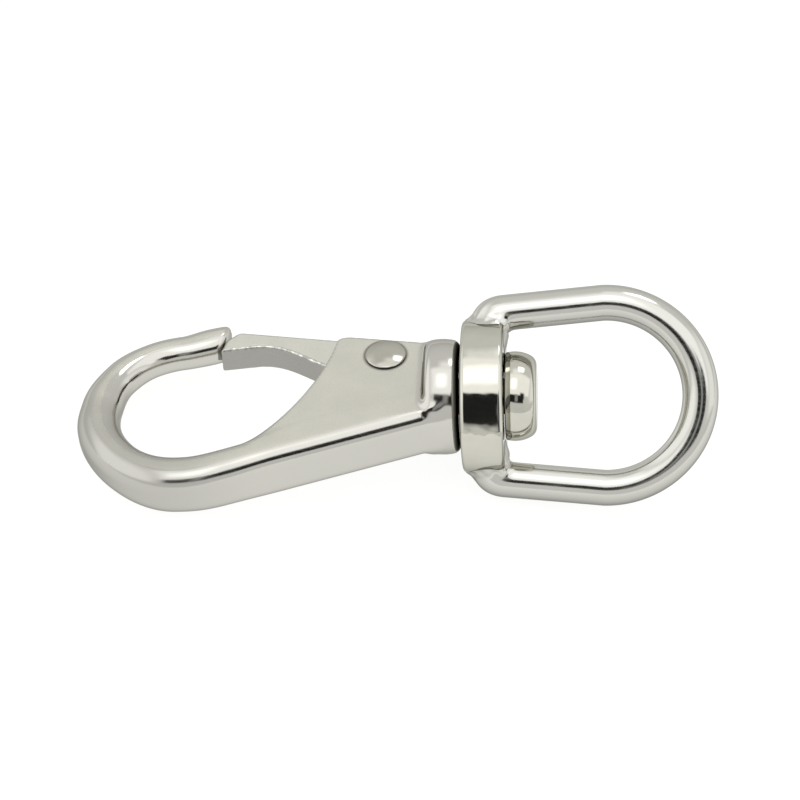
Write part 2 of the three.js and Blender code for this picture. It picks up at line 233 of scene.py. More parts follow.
def outline_distance(x, y, outline):
    """Signed distance to a closed outline in the XY plane, negative inside."""
    x, y = np.broadcast_arrays(x, y)
    nearest = np.full(x.shape, np.inf)
    inside = np.zeros(x.shape, bool)
    for (ax, ay), (bx, by) in zip(outline, np.roll(outline, -1, axis=0)):
        ex, ey = bx - ax, by - ay
        px, py = x - ax, y - ay
        t = np.clip((px * ex + py * ey) / (ex * ex + ey * ey), 0, 1)
        nearest = np.minimum(nearest, (px - ex * t) ** 2 + (py - ey * t) ** 2)
        if ay != by:
            crossing = (ay <= y) != (by <= y)
            inside ^= crossing & (px < py * ex / ey)
    return np.where(inside, -1, 1) * np.sqrt(nearest)


class Line:
    """A smooth line in the XY plane, sampled finely, with the share of its length nearest to any point."""

    COARSE = 40
    MIDDLE = 5

    def __init__(self, points, count=2400):
        points = np.array(points, float)
        length = np.concatenate([[0], np.cumsum(np.hypot(*np.diff(points, axis=0).T))])
        self.length = length[-1]
        even = np.linspace(0, self.length, count)
        self.at = np.column_stack([np.interp(even, length, points[:, k]) for k in (0, 1)])
        self.share = even / self.length
        along = np.gradient(self.at, axis=0)
        self.along = along / np.hypot(*along.T)[:, None]

    def nearest(self, x, y):
        """Index of the nearest sample of the line, found in three passes from coarse to fine."""
        last = len(self.at) - 1
        best = np.zeros(x.shape, int)
        nearest = np.full(x.shape, np.inf)
        passes = [
            (np.arange(0, last + 1, self.COARSE), True),
            (np.arange(-self.COARSE, self.COARSE + 1, self.MIDDLE), False),
            (np.arange(-self.MIDDLE, self.MIDDLE + 1), False),
        ]
        for steps, absolute in passes:
            centre = best.copy()
            for step in steps:
                index = np.full(x.shape, step) if absolute else np.clip(centre + step, 0, last)
                away = (x - self.at[index, 0]) ** 2 + (y - self.at[index, 1]) ** 2
                closer = away < nearest
                nearest[closer] = away[closer]
                best[closer] = index[closer]
        return best

    def distance(self, x, y):
        """Distance to the line in the XY plane."""
        x, y = np.broadcast_arrays(x, y)
        best = self.nearest(x, y)
        return np.hypot(x - self.at[best, 0], y - self.at[best, 1])

    def measure(self, x, y):
        """Share of the length at the nearest point, offset to its right, and distance past an end."""
        x, y = np.broadcast_arrays(x, y)
        best = self.nearest(x, y)
        last = len(self.at) - 1
        dx, dy = x - self.at[best, 0], y - self.at[best, 1]
        tx, ty = self.along[best, 0], self.along[best, 1]
        ahead = dx * tx + dy * ty
        short = -np.minimum(best, last - best) * self.length / last
        past = np.where(best == last, ahead, np.where(best == 0, -ahead, short))
        return self.share[best], dx * ty - dy * tx, past


def surface_net(field, low, high, step):
    """Closed mesh of the zero level of field inside a box: one point per crossed cell, pulled on to it."""
    axes = [np.arange(lo - step, hi + 2 * step, step) for lo, hi in zip(low, high)]
    x, y, z = axes[0][:, None, None], axes[1][None, :, None], axes[2][None, None, :]
    values = field(x, y, z)
    inside = values < 0
    shape = np.array(values.shape) - 1
    corners = [(i, j, k) for i in (0, 1) for j in (0, 1) for k in (0, 1)]
    views = [inside[i : i + shape[0], j : j + shape[1], k : k + shape[2]] for i, j, k in corners]
    total = np.sum(views, axis=0)
    cells = np.argwhere((total > 0) & (total < 8))
    points = np.zeros((len(cells), 3))
    hits = np.zeros(len(cells))
    for a in corners:
        for axis in range(3):
            if a[axis]:
                continue
            b = list(a)
            b[axis] = 1
            va = values[tuple((cells + a).T)]
            vb = values[tuple((cells + b).T)]
            crossed = (va < 0) != (vb < 0)
            share = np.where(crossed, va / np.where(crossed, va - vb, 1), 0)
            place = (cells + a).astype(float)
            place[:, axis] += share
            points += place * crossed[:, None]
            hits += crossed
    points = points / hits[:, None]
    start = np.array([axis[0] for axis in axes])
    points = start + points * step
    index = np.full(shape, -1)
    index[tuple(cells.T)] = np.arange(len(cells))
    faces = []
    for axis in range(3):
        u, v = (axis + 1) % 3, (axis + 2) % 3
        here = [slice(0, n) for n in inside.shape]
        there = list(here)
        here[axis] = slice(0, inside.shape[axis] - 1)
        there[axis] = slice(1, inside.shape[axis])
        first, second = inside[tuple(here)], inside[tuple(there)]
        edges = np.argwhere(first != second)
        inner_u = (edges[:, u] > 0) & (edges[:, u] < shape[u])
        inner_v = (edges[:, v] > 0) & (edges[:, v] < shape[v])
        edges = edges[inner_u & inner_v]
        ring = []
        for du, dv in ((-1, -1), (0, -1), (0, 0), (-1, 0)):
            cell = edges.copy()
            cell[:, u] += du
            cell[:, v] += dv
            ring.append(index[tuple(cell.T)])
        quads = np.column_stack(ring)
        outward = first[tuple(edges.T)]
        faces.append(np.where(outward[:, None], quads, quads[:, ::-1]))
    faces = np.concatenate(faces)
    return settle(field, points, faces, step), faces


def pull(field, points, limit, rounds):
    """Moves points on to the zero level of field, along its slope."""
    probe = 0.01
    for _ in range(rounds):
        here = field(*points.T)
        slope = np.zeros_like(points)
        for axis in range(3):
            moved = points.copy()
            moved[:, axis] += probe
            slope[:, axis] = (field(*moved.T) - here) / probe
        steep = np.maximum((slope**2).sum(1), 0.05)
        move = -slope * (here / steep)[:, None]
        size = np.linalg.norm(move, axis=1)
        points = points + move * np.minimum(1, limit / np.maximum(size, 1e-9))[:, None]
    return points


def settle(field, points, faces, step):
    """Evens out the points along the surface, then pulls them back on to it."""
    points = pull(field, points, step * 0.6, 2)
    pairs = np.concatenate([faces[:, [k, (k + 1) % 4]] for k in range(4)])
    for _ in range(2):
        total = np.zeros_like(points)
        count = np.bincount(pairs[:, 0], minlength=len(points)).astype(float)
        for axis in range(3):
            total[:, axis] = np.bincount(pairs[:, 0], points[pairs[:, 1], axis], len(points))
        mean = total / np.maximum(count, 1)[:, None]
        points = pull(field, points + 0.5 * (mean - points), step * 0.4, 1)
    return points


# ---- meshes from points ----


def make_piece(name, points, faces, matrix, body, material, attributes=None):
    """A mesh object from points in millimetres, with a body to ride on unless that is None, and a slot."""
    mesh = bpy.data.meshes.new(name)
    points = np.asarray(points, float)
    mesh.from_pydata([tuple(p) for p in points], [], [tuple(f) for f in faces])
    for key, values in (attributes or {}).items():
        layer = mesh.attributes.new(key, "FLOAT", "POINT")
        layer.data.foreach_set("value", np.asarray(values, np.float32))
    mesh.transform(matrix)
    mesh.validate()
    mesh.update()
    mesh.polygons.foreach_set("use_smooth", [True] * len(mesh.polygons))
    obj = bpy.data.objects.new(name, mesh)
    bpy.context.scene.collection.objects.link(obj)
    obj.data.materials.append(material)
    if body:
        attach(obj, body)
    return obj


def normals_of(points, faces):
    """Area-weighted point normals of a mesh of quads."""
    a, b, c, d = (points[faces[:, k]] for k in range(4))
    across = np.cross(c - a, d - b)
    total = np.zeros_like(points)
    for k in range(4):
        for axis in range(3):
            total[:, axis] += np.bincount(faces[:, k], across[:, axis], len(points))
    return total / np.maximum(np.linalg.norm(total, axis=1), 1e-12)[:, None]


def turned(profile, sides):
    """Points and faces of a surface turned about X from (x, radius) pairs, open at both ends."""
    profile = np.array(profile, float)
    angle = np.linspace(0, 2 * math.pi, sides, endpoint=False)
    x = np.repeat(profile[:, :1], sides, 1)
    across, up = profile[:, 1:] * np.cos(angle), profile[:, 1:] * np.sin(angle)
    points = np.stack([x, across, up], axis=2).reshape(-1, 3)
    faces = []
    for i in range(len(profile) - 1):
        for k in range(sides):
            n = (k + 1) % sides
            faces.append((i * sides + k, (i + 1) * sides + k, (i + 1) * sides + n, i * sides + n))
    return points, faces


def closed_turned(profile, sides):
    """A turned solid whose profile starts and ends on the axis, each end closed by a fan."""
    points, faces = turned(profile, sides)
    count = len(profile)
    keep = points[sides : (count - 1) * sides]
    first, last = points[0].copy(), points[-1].copy()
    first[1:] = 0
    last[1:] = 0
    body = [tuple(v - sides for v in f) for f in faces if f[0] >= sides and f[1] < (count - 1) * sides]
    tip, end = len(keep), len(keep) + 1
    for k in range(sides):
        n = (k + 1) % sides
        body.append((tip, k, n))
        body.append((end, (count - 3) * sides + n, (count - 3) * sides + k))
    return np.vstack([keep, first, last]), body


# ---- the hook body ----


def spine_point(along):
    """A point on the spine's straight line, along mm past its end towards the loop."""
    return (
        LOOP_START[0] - math.cos(SPINE_ANGLE) * along,
        LOOP_START[1] - math.sin(SPINE_ANGLE) * along,
    )


def bar_line():
    """Middle line of the bar, from inside the neck along the spine and round the loop to the nose."""
    low_x, low_y = LOOP_LOW
    far_x, far_y = LOOP_FAR
    lower = bezier([spine_point(0), spine_point(6.4), (low_x + 3.8, low_y), LOOP_LOW], 500)
    outer = bezier([LOOP_LOW, (low_x - 5.7, low_y), (far_x, far_y - 6.4), LOOP_FAR], 700)
    brow_x, brow_y = BROW
    upper = bezier([LOOP_FAR, (far_x, far_y + 9), (brow_x - 5, brow_y - 0.9), BROW], 700)
    nose = bezier([BROW, (brow_x + 1.8, brow_y + 0.33), (-36.8, 10.7), NOSE_END], 300)
    return Line(np.vstack([[spine_point(-SPINE_BACK)], lower, outer, upper, nose, [NOSE_END]]))


BAR = bar_line()


def bar_section(share):
    """Half width, half depth and corner radius of the bar at a share of its length."""
    stations = np.array(BAR_SECTIONS)
    place = np.clip(np.searchsorted(stations[:, 0], share) - 1, 0, len(stations) - 2)
    low, high = stations[place], stations[place + 1]
    mix = smooth_step(share, low[..., 0], high[..., 0])[..., None]
    width, depth, corner = np.moveaxis(low[..., 1:] * (1 - mix) + high[..., 1:] * mix, -1, 0)
    return width / 2, depth / 2, corner


def bar_field(x, y, z):
    """The bar: a rounded rectangle that changes along its line."""
    share, offset, past = BAR.measure(x, y)
    half_width, half_depth, corner = bar_section(share)
    section = round_box(offset, z, half_width, half_depth, corner)
    return smooth_max(section, past, END_SOFTNESS)


def web_outline():
    """The cheeks' outline: neck, crest, the throat's curve, then back inside the spine."""
    shape = [(NECK_BACK + 1, 6.7)]
    shape += list(bezier([CHEEK_CREST, (-17.4, 8.3), THROAT_TOP], 14))
    shape += list(bezier([THROAT_TOP, (-19.15, 0.2), (-23.95, -9.6), THROAT_FOOT], 60))
    shape += [THROAT_FOOT, LOOP_START, (-11, -7.6), (NECK_BACK + 1, -6.4)]
    return np.array(shape)


def gate_slot_outline():
    """The slot for the gate, open towards +Y and the throat, with room for the pin's tail at its end."""
    end_x, open_x, open_y, tail_y = TAIL_BACK - 0.05, -24, 14, -3.1
    shape = [(end_x, open_y), (end_x, tail_y), (TAIL_BACK - 2.4, tail_y)]
    shape += [(-11.5, SLOT_FLOOR), (open_x, SLOT_FLOOR), (open_x, open_y)]
    return np.array(shape)


WEB = web_outline()
SLOT = gate_slot_outline()


def plate_field(x, y, z, outline, half, edge):
    """A flat plate with rounded edges."""
    side = outline_distance(x, y, outline) + edge
    face = np.abs(z) - half + edge
    outside = np.hypot(np.maximum(side, 0), np.maximum(face, 0))
    return outside + np.minimum(np.maximum(side, face), 0) - edge


def neck_field(x, y, z):
    """The neck: a short round collar, slightly barrelled."""
    centre = (NECK_BACK + NECK_FRONT) / 2
    half = (NECK_FRONT - NECK_BACK) / 2
    crown = NECK_CROWN * ((x - centre) / half) ** 2
    return round_box(x - centre, np.hypot(y, z) + crown, half, NECK_RADIUS, NECK_EDGE)


def nose_plane(x, y):
    """Distance past the slanting cut at the nose, towards the gate."""
    across = np.array(GATE_BROW) - GATE_TOE
    across = across / np.hypot(*across)
    away = np.array((-across[1], across[0]))
    return -((x - GATE_TOE[0]) * away[0] + (y - GATE_TOE[1]) * away[1]) + NOSE_GAP


def hook_field(x, y, z):
    """The casting: bar, web and neck, less the nose's cut, the slot and the holes for pin and rivet."""
    uncut = -9
    cut = np.where(y > NOSE_CUT_FLOOR, nose_plane(x, y), uncut)
    bar = smooth_max(bar_field(x, y, z), cut, NOSE_SOFTNESS)
    fade = smooth_step(-x, *WEB_FADE)
    web = plate_field(x, y, z, WEB, CHEEK_HALF - WEB_THINNING * fade, CHEEK_EDGE + WEB_ROUNDING * fade)
    body = smooth_min(bar, web, WEB_JOIN - smooth_step(-x, *JOIN_FADE))
    body = smooth_max(body, np.abs(z) - CHEEK_HALF, FACE_SOFTNESS)
    body = smooth_min(body, neck_field(x, y, z), NECK_JOIN)
    slot = np.maximum(outline_distance(x, y, SLOT), np.abs(z) - SLOT_HALF)
    body = smooth_max(body, -slot, SLOT_SOFTNESS)
    across = np.hypot(y, z)
    tail = np.maximum(across - TAIL_RADIUS - FIT_GAP, np.abs(x - TAIL_BACK) - TAIL_RECESS)
    bore = np.maximum(across - PIN_RADIUS - FIT_GAP, TAIL_BACK - x)
    rivet = np.hypot(x - PIVOT[0], y - PIVOT[1]) - RIVET_RADIUS - FIT_GAP
    return np.maximum(body, -np.minimum(np.minimum(tail, bore), rivet))


# ---- the gate ----


def gate_outline():
    """The gate: slanting toe, crest, the back's long curve, the round hub and the hollow throat side."""
    hub_start, hub_end = 1, -2.2
    angles = np.linspace(hub_start, hub_end, 28)
    hub = [(PIVOT[0] + HUB_RADIUS * math.cos(a), PIVOT[1] + HUB_RADIUS * math.sin(a)) for a in angles]
    shape = [GATE_TOE, GATE_BROW]
    shape += list(bezier([GATE_BEVEL, (-32.25, 11.5), GATE_CREST], 8))
    shape += [GATE_CREST]
    shape += list(bezier([(-17.7, 9.65), (-12.8, 9.3), hub[0]], 12))
    shape += hub
    shape += list(bezier([(-18.4, 3.9), (-22.6, 5.6), (-24.6, 8.5), (-29.0, 8.45)], 24))
    shape += [(-29.0, 8.45), (-31.67, 8.1)]
    return np.array(shape)


GATE = gate_outline()
POCKET = np.array([(-6, 14), (-6, -4), (-17.9, -4), (-17.6, 5.1), (-13.6, 3.65), (-13.6, 14)])


def gate_field(x, y, z):
    """The gate's arm, less the spring's pocket in its fork and the rivet's hole."""
    arm = plate_field(x, y, z, GATE, GATE_HALF, GATE_EDGE)
    pocket = np.maximum(outline_distance(x, y, POCKET), np.abs(z) - FORK_HALF)
    bore = np.hypot(x - PIVOT[0], y - PIVOT[1]) - RIVET_RADIUS - HUB_GAP
    return np.maximum(smooth_max(arm, -pocket, FORK_SOFTNESS), -bore)


# ---- the bail, flat in XY, with its welded feet ----


def bail_line():
    """Middle line of the bail, from one foot on the ring round the bow to the other."""
    slope = (LEG_FAR - LEG_NEAR) / (BOW_START - ELBOW_X)
    reach = 7.3
    knee_run = 2.3

    def side(sign):
        foot = (ELBOW_X, sign * 8.6)
        low = (ELBOW_X, sign * 9.9)
        corner = (ELBOW_X + 0.1, sign * (LEG_NEAR + 0.05))
        knee = (ELBOW_X + knee_run, sign * (LEG_NEAR + slope * knee_run))
        shoulder = (BOW_START, sign * LEG_FAR)
        elbow = bezier([low, corner, knee], 120)
        leg = np.linspace(knee, shoulder, 200, endpoint=False)
        lean = (BOW_START + reach, sign * (LEG_FAR + slope * 2))
        bow = bezier([shoulder, lean, (BOW_END, sign * reach), (BOW_END, 0)], 600)
        return np.vstack([[foot], elbow, leg, bow])

    return Line(np.vstack([side(-1), [(BOW_END, 0)], side(1)[::-1]]))


BAIL = bail_line()


def bail_field(x, y, z):
    """The rod, with a weld fillet that spreads on to the ring's rim and dies away under its surface."""
    rod = np.hypot(BAIL.distance(x, y), z) - ROD_RADIUS
    half = (RING_FRONT - RING_BACK) / 2
    ring = round_box(x - RING_BACK - half, np.hypot(y, z), half, RING_RADIUS, RING_EDGE)
    sink = 0.5 * np.maximum(rod - 0.5, 0) ** 2
    wave_x, wave_y, wave_z = (np.sin(size * v + start) for v, (size, start) in zip((x, y, z), BEAD_WAVES))
    lumps = 0.6 + 0.4 * wave_x * wave_y * wave_z
    bead = BEAD_HEIGHT * lumps * np.exp(-(rod**2 + ring**2) / BEAD_REACH**2)
    joined = smooth_min(rod, ring + SKIN + sink, FILLET) - bead
    return np.maximum(np.maximum(joined, rod - WELD_SPREAD), -(ring + WELD_DEPTH))


# ---- materials ----


class Nodes:
    """Short way to wire a procedural steel."""

    def __init__(self, name):
        self.material = bpy.data.materials.new(name)
        self.material.use_nodes = True
        self.tree = self.material.node_tree
        self.shader = self.tree.nodes["Principled BSDF"]
        self.place = self.tree.nodes.new("ShaderNodeTexCoord").outputs["Object"]

    def give(self, socket, value):
        """Links a socket to another node's output, or sets it to a constant."""
        if isinstance(value, bpy.types.NodeSocket):
            self.tree.links.new(value, socket)
        else:
            socket.default_value = value

    def add(self, kind, inputs=(), **settings):
        """A new node with its settings, and its inputs given by name or number."""
        node = self.tree.nodes.new(kind)
        for key, value in settings.items():
            setattr(node, key, value)
        for key, value in dict(inputs).items():
            self.give(node.inputs[key], value)
        return node

    def maths(self, operation, *values):
        """Result of a Math node."""
        return self.add("ShaderNodeMath", dict(enumerate(values)), operation=operation).outputs[0]

    def attribute(self, name):
        """One of the mesh's point attributes."""
        return self.add("ShaderNodeAttribute", attribute_name=name).outputs["Fac"]

    def noise(self, size_mm, detail=3.0, stretch=(1, 1, 1)):
        """Noise with lumps about size_mm across, stretched along an axis whose factor is below 1."""
        scaled = self.add("ShaderNodeMapping", {"Vector": self.place, "Scale": stretch})
        inputs = {"Vector": scaled.outputs[0], "Scale": 1 / (size_mm * MM), "Detail": detail}
        return self.add("ShaderNodeTexNoise", inputs).outputs["Fac"]

    def spread(self, value, low, high, from_low=0.3, from_high=0.7):
        """value from its own range, a noise's usual one if none is given, to low..high."""
        inputs = {"Value": value, "From Min": from_low, "From Max": from_high}
        inputs.update({"To Min": low, "To Max": high})
        return self.add("ShaderNodeMapRange", inputs).outputs[0]

    def mix_number(self, factor, a, b):
        """a where factor is 0 and b where it is 1."""
        return self.add("ShaderNodeMix", {"Factor": factor, 2: a, 3: b}, data_type="FLOAT").outputs[0]

    def mix_colour(self, factor, a, b):
        """The same for colours, each a socket or a red, green and blue triple."""
        first, second = ((*value, 1) if isinstance(value, tuple) else value for value in (a, b))
        inputs = {"Factor": factor, 6: first, 7: second}
        return self.add("ShaderNodeMix", inputs, data_type="RGBA").outputs[2]

    def bump(self, height, strength, depth_mm, below=None):
        """Normal of a surface with small relief, laid over another normal if one is given."""
        inputs = {"Height": height, "Strength": strength, "Distance": depth_mm * MM}
        if below is not None:
            inputs["Normal"] = below
        return self.add("ShaderNodeBump", inputs).outputs[0]

    def with_painted_shade(self, colour):
        """Painted shade: darker where the mesh's shade attribute is up, in the swivel's narrow gaps, under
        the heads and round the rivet.
        """
        return self.mix_colour(self.attribute("painted_shade"), colour, PAINTED_SHADE)

    def finish(self, colour, roughness, normal=None):
        """The material, as bare metal of that colour and roughness."""
        self.shader.inputs["Metallic"].default_value = 1
        self.shader.inputs["Specular Tint"].default_value = EDGE_TINT
        self.tree.links.new(colour, self.shader.inputs["Base Color"])
        self.tree.links.new(roughness, self.shader.inputs["Roughness"])
        if normal is not None:
            self.tree.links.new(normal, self.shader.inputs["Normal"])
        return self.material


CHEEK_SATIN = (0.67, 0.66, 0.585)
CAST_POLISH = (0.575, 0.565, 0.52)
GATE_SATIN = (0.72, 0.71, 0.64)
GATE_SIDE = (0.35, 0.345, 0.32)
MIRROR = (0.6, 0.59, 0.52)
RIVET_POLISH = (0.5, 0.49, 0.43)
ROD_POLISH = (0.6, 0.595, 0.555)
# Colour of the painted shade in the swivel's gaps, under the heads and round the rivet.
PAINTED_SHADE = (0.04, 0.04, 0.035)
LIGHTLY_BUFFED = (0.36, 0.355, 0.33)
# Painted highlight: the worn edges' colour, brighter than the steel.
WORN_EDGE_HIGHLIGHT = (0.86, 0.85, 0.8)
WIRE_LIGHT = (0.6, 0.59, 0.56)
WIRE_DARK = (0.5, 0.49, 0.46)
# Steel darkens towards a glancing view before it brightens again.
EDGE_TINT = (0.48, 0.48, 0.465, 1)
# Heights over the swivel axis, mm: the flat spot on the ring's rim starts sharply and fades upwards.
FLAT_START = (2.4, 2.7)
FLAT_FADE = (2.9, 7.5)
FLAT_WOBBLE = 0.5
FLAT_LEAN = 0.4
# How level a surface is, as the size of its normal's Z, on the satin faces and on the worn edges with
# their painted highlight.
SATIN_LEVELS = (0.975, 0.998)
WORN_HIGHLIGHT_FROM = (0.2, 0.45)
WORN_HIGHLIGHT_TO = (0.85, 0.97)
# Painted shade on the cheeks round the rivet's heads: how dark, and how far from their edge it fades, mm.
RIVET_SHADE = 0.7
RIVET_SHADE_FADE = (0.05, 0.42)


def polished_steel(name, roughness, tint=MIRROR, dents=0.5, lean=None):
    """Mirror-polished steel: long waves, a few fine scratches and a slight haze that comes and goes."""
    n = Nodes(name)
    haze = n.noise(3.0, 2)
    marks = n.noise(0.5, 4, (0.12, 1, 1))
    colour = n.mix_colour(n.spread(haze, 0, 1), tint, tuple(0.94 * c for c in tint))
    rough = n.spread(marks, roughness * 0.75, roughness * 1.35)
    waves = n.bump(n.noise(2.6, 1), dents, 0.05, lean(n) if lean else None)
    # Painted shade: the colour darkens where the mesh's shade attribute is up.
    return n.finish(n.with_painted_shade(colour), rough, n.bump(marks, 0.3 * dents, 0.004, waves))


def flat_spot(n):
    """Normal of the ring's rim, leaned upwards where the polishing belt has left it a little flat."""
    up = hook_to_row.to_3x3().col[2].normalized()
    inputs = {0: n.place, 1: tuple(hook_to_row.translation)}
    from_axis = n.add("ShaderNodeVectorMath", inputs, operation="SUBTRACT").outputs[0]
    rise = n.add("ShaderNodeVectorMath", {0: from_axis, 1: tuple(up)}, operation="DOT_PRODUCT")
    height = rise.outputs["Value"]
    wobble = n.spread(n.noise(2.2, 2), -FLAT_WOBBLE * MM, FLAT_WOBBLE * MM)
    edge = n.maths("ADD", height, wobble)
    lean = n.spread(height, FLAT_LEAN, 0, FLAT_FADE[0] * MM, FLAT_FADE[1] * MM)
    above = n.spread(edge, 0, 1, FLAT_START[0] * MM, FLAT_START[1] * MM)
    amount = n.maths("MULTIPLY", lean, above)
    tilt = n.add("ShaderNodeVectorMath", {0: tuple(up), "Scale": amount}, operation="SCALE").outputs[0]
    spaces = {"convert_from": "OBJECT", "convert_to": "WORLD"}
    tilt = n.add("ShaderNodeVectorTransform", {0: tilt}, **spaces).outputs[0]
    facing = n.add("ShaderNodeNewGeometry").outputs["Normal"]
    total = n.add("ShaderNodeVectorMath", {0: facing, 1: tilt}, operation="ADD").outputs[0]
    return n.add("ShaderNodeVectorMath", {0: total}, operation="NORMALIZE").outputs[0]


def rod_steel():
    """Polished rod, with painted shade: its colour darker underneath."""
    n = Nodes("rod_steel")
    marks = n.noise(0.5, 4, (0.12, 1, 1))
    facing = n.add("ShaderNodeTexCoord").outputs["Normal"]
    upward = n.add("ShaderNodeSeparateXYZ", {0: facing}).outputs[2]
    # Painted shade: the colour darkens where the surface faces down.
    shade = n.spread(upward, 0, 1, -0.3, 0.35)
    colour = n.mix_colour(shade, tuple(0.62 * c for c in ROD_POLISH), ROD_POLISH)
    waves = n.bump(n.noise(3.0, 1), 0.4, 0.05)
    return n.finish(colour, n.spread(marks, 0.09, 0.17), n.bump(marks, 0.15, 0.004, waves))


def satin_and_polish(name, satin, buffed, smoothest):
    """Cast steel: polish is 1 on the buffed parts, haze where buffing was light, wear on bare edges,
    painted bright there as a highlight.
    """
    n = Nodes(name)
    polish = n.attribute("polish")
    light = n.attribute("haze")
    grain = n.noise(0.2, 4)
    cloud = n.noise(4.0, 3)
    patchy = n.mix_colour(n.spread(cloud, 0, 1), satin, tuple(0.93 * c for c in satin))
    speckled = n.mix_colour(n.spread(grain, 0, 0.5), patchy, tuple(0.86 * c for c in satin))
    colour = n.mix_colour(polish, speckled, buffed)
    colour = n.mix_colour(n.spread(light, 0, 0.4, 0, 1), colour, LIGHTLY_BUFFED)
    # Worn edges: smoother, and painted bright as a highlight.
    worn_highlight = n.maths("MULTIPLY", n.attribute("wear_and_highlight"), n.spread(n.noise(0.9, 3), 0.1, 1, 0.4, 0.6))
    colour = n.mix_colour(worn_highlight, colour, WORN_EDGE_HIGHLIGHT)
    dull = n.spread(grain, 0.34, 0.46)
    fine = n.spread(n.noise(0.4, 3, (0.15, 1, 1)), smoothest, smoothest + 0.07)
    rough = n.mix_number(polish, dull, n.mix_number(light, fine, 0.2))
    rough = n.mix_number(worn_highlight, rough, 0.2)
    dents = n.bump(n.noise(5.0, 1), 0.35, 0.06)
    pits = n.mix_number(polish, grain, 0.5)
    # Painted shade: the colour darkens where the mesh's shade attribute is up.
    return n.finish(n.with_painted_shade(colour), rough, n.bump(pits, 0.35, 0.012, dents))


def wire_steel(name):
    """Drawn spring wire, a little rough all over."""
    n = Nodes(name)
    drawn = n.noise(0.3, 3)
    colour = n.mix_colour(n.spread(drawn, 0, 1), WIRE_LIGHT, WIRE_DARK)
    return n.finish(colour, n.spread(drawn, 0.25, 0.4))


# ---- pieces ----


def polish_mask(points, faces):
    """0 on faces square to Z, where the satin flats are, and 1 where the surface turns away."""
    level = np.abs(normals_of(points, faces)[:, 2])
    return 1 - smooth_step(level, *SATIN_LEVELS)


def shade_round_rivet(x, y, z):
    """Painted shade on the cheeks along the edge of the rivet's heads."""
    from_edge = np.abs(np.hypot(x - PIVOT[0], y - PIVOT[1]) - RIVET_HEAD_RADIUS)
    rim_shade = RIVET_SHADE * (1 - smooth_step(from_edge, *RIVET_SHADE_FADE))
    return rim_shade * (np.abs(z) > CHEEK_HALF - CHEEK_EDGE)


def edge_mask(points, faces):
    """1 on the rounded edges between the faces square to Z and the sides."""
    level = np.abs(normals_of(points, faces)[:, 2])
    return smooth_step(level, *WORN_HIGHLIGHT_FROM) * (1 - smooth_step(level, *WORN_HIGHLIGHT_TO))


def make_hook_body(material):
    """The casting: satin cheeks, polished neck and bar, duller low on the loop, with painted shade behind
    the ring and round the rivet.
    """
    points, faces = surface_net(hook_field, (-54.2, -20.4, -8.4), (-0.4, 14.2, 8.4), CAST_STEP)
    x, y, z = points.T
    above_cheek = smooth_step(np.abs(z), CHEEK_HALF + 0.05, CHEEK_HALF + 0.3)
    shade_behind_ring = smooth_step(x, NECK_FRONT - 0.5, NECK_FRONT - 0.1)
    finish = {
        "polish": np.maximum(polish_mask(points, faces), above_cheek),
        "haze": smooth_step(-x, 26, 42) * (1 - smooth_step(y, -8, 2)),
        # Painted shade: dark in the gap behind the ring and round the rivet's heads.
        "painted_shade": np.maximum(shade_behind_ring, shade_round_rivet(x, y, z)),
    }
    piece = make_piece("hook_body_cast", points, faces, hook_to_row, "hook", material, finish)
    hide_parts("hook_body")


def make_gate(material):
    """The gate's arm: satin faces, polished sides and a worn line along its edges, painted bright as a
    highlight.
    """
    points, faces = surface_net(gate_field, (-34.8, 1.2, -2.3), (-7.2, 12, 2.3), GATE_STEP)
    finish = {"polish": polish_mask(points, faces), "wear_and_highlight": edge_mask(points, faces)}
    piece = make_piece("gate_arm", points, faces, hook_to_row, "gate", material, finish)
    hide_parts("gate")


def make_rivet(material):
    """The rivet is turned about Z through the pivot, with a low dome on each cheek."""
    rim = CHEEK_HALF + RIVET_RIM
    dome = (RIVET_HEAD_RADIUS**2 + RIVET_DOME**2) / (2 * RIVET_DOME)
    half = [(CHEEK_HALF, RIVET_RADIUS), (CHEEK_HALF, RIVET_HEAD_RADIUS - 0.4)]
    half += [(CHEEK_HALF + 0.1, RIVET_HEAD_RADIUS - 0.3), (rim - 0.04, RIVET_HEAD_RADIUS - 0.04)]
    for radius in np.linspace(RIVET_HEAD_RADIUS - 0.05, 0, 15):
        half.append((rim + RIVET_DOME - dome + math.sqrt(dome**2 - radius**2), radius))
    profile = [(-x, r) for x, r in reversed(half)] + half
    points, faces = closed_turned(profile, RIVET_SIDES)
    points = np.column_stack([points[:, 1] + PIVOT[0], points[:, 2] + PIVOT[1], points[:, 0]])
    # Painted shade: dark at the undercut under each dome's rim.
    painted_shade = {"painted_shade": 1 - smooth_step(np.abs(points[:, 2]), CHEEK_HALF + 0.1, rim)}
    piece = make_piece("rivet", points, faces, hook_to_row, "hook", material, painted_shade)
    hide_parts("gate_rivet")


def spring_path():
    """Middle line of the spring's wire: a long leg, the coil round the rivet, and a short leg."""
    coil = (SHORT_LEG_ANGLE - LONG_LEG_ANGLE) * COIL_RADIUS
    along = np.linspace(0, LONG_LEG + coil + SHORT_LEG, 260)
    inner = np.clip((along - LONG_LEG) / coil, 0, 1)
    angle = LONG_LEG_ANGLE + (SHORT_LEG_ANGLE - LONG_LEG_ANGLE) * inner
    before = np.maximum(0, LONG_LEG - along)
    after = np.maximum(0, along - LONG_LEG - coil)
    first, last = LONG_LEG_ANGLE, SHORT_LEG_ANGLE
    x = PIVOT[0] + COIL_RADIUS * np.cos(angle) + before * math.sin(first) - after * math.sin(last)
    y = PIVOT[1] + COIL_RADIUS * np.sin(angle) - before * math.cos(first) + after * math.cos(last)
    z = (inner - 0.5) * (last - first) * COIL_PITCH / (2 * math.pi)
    return np.column_stack([x, y, z])


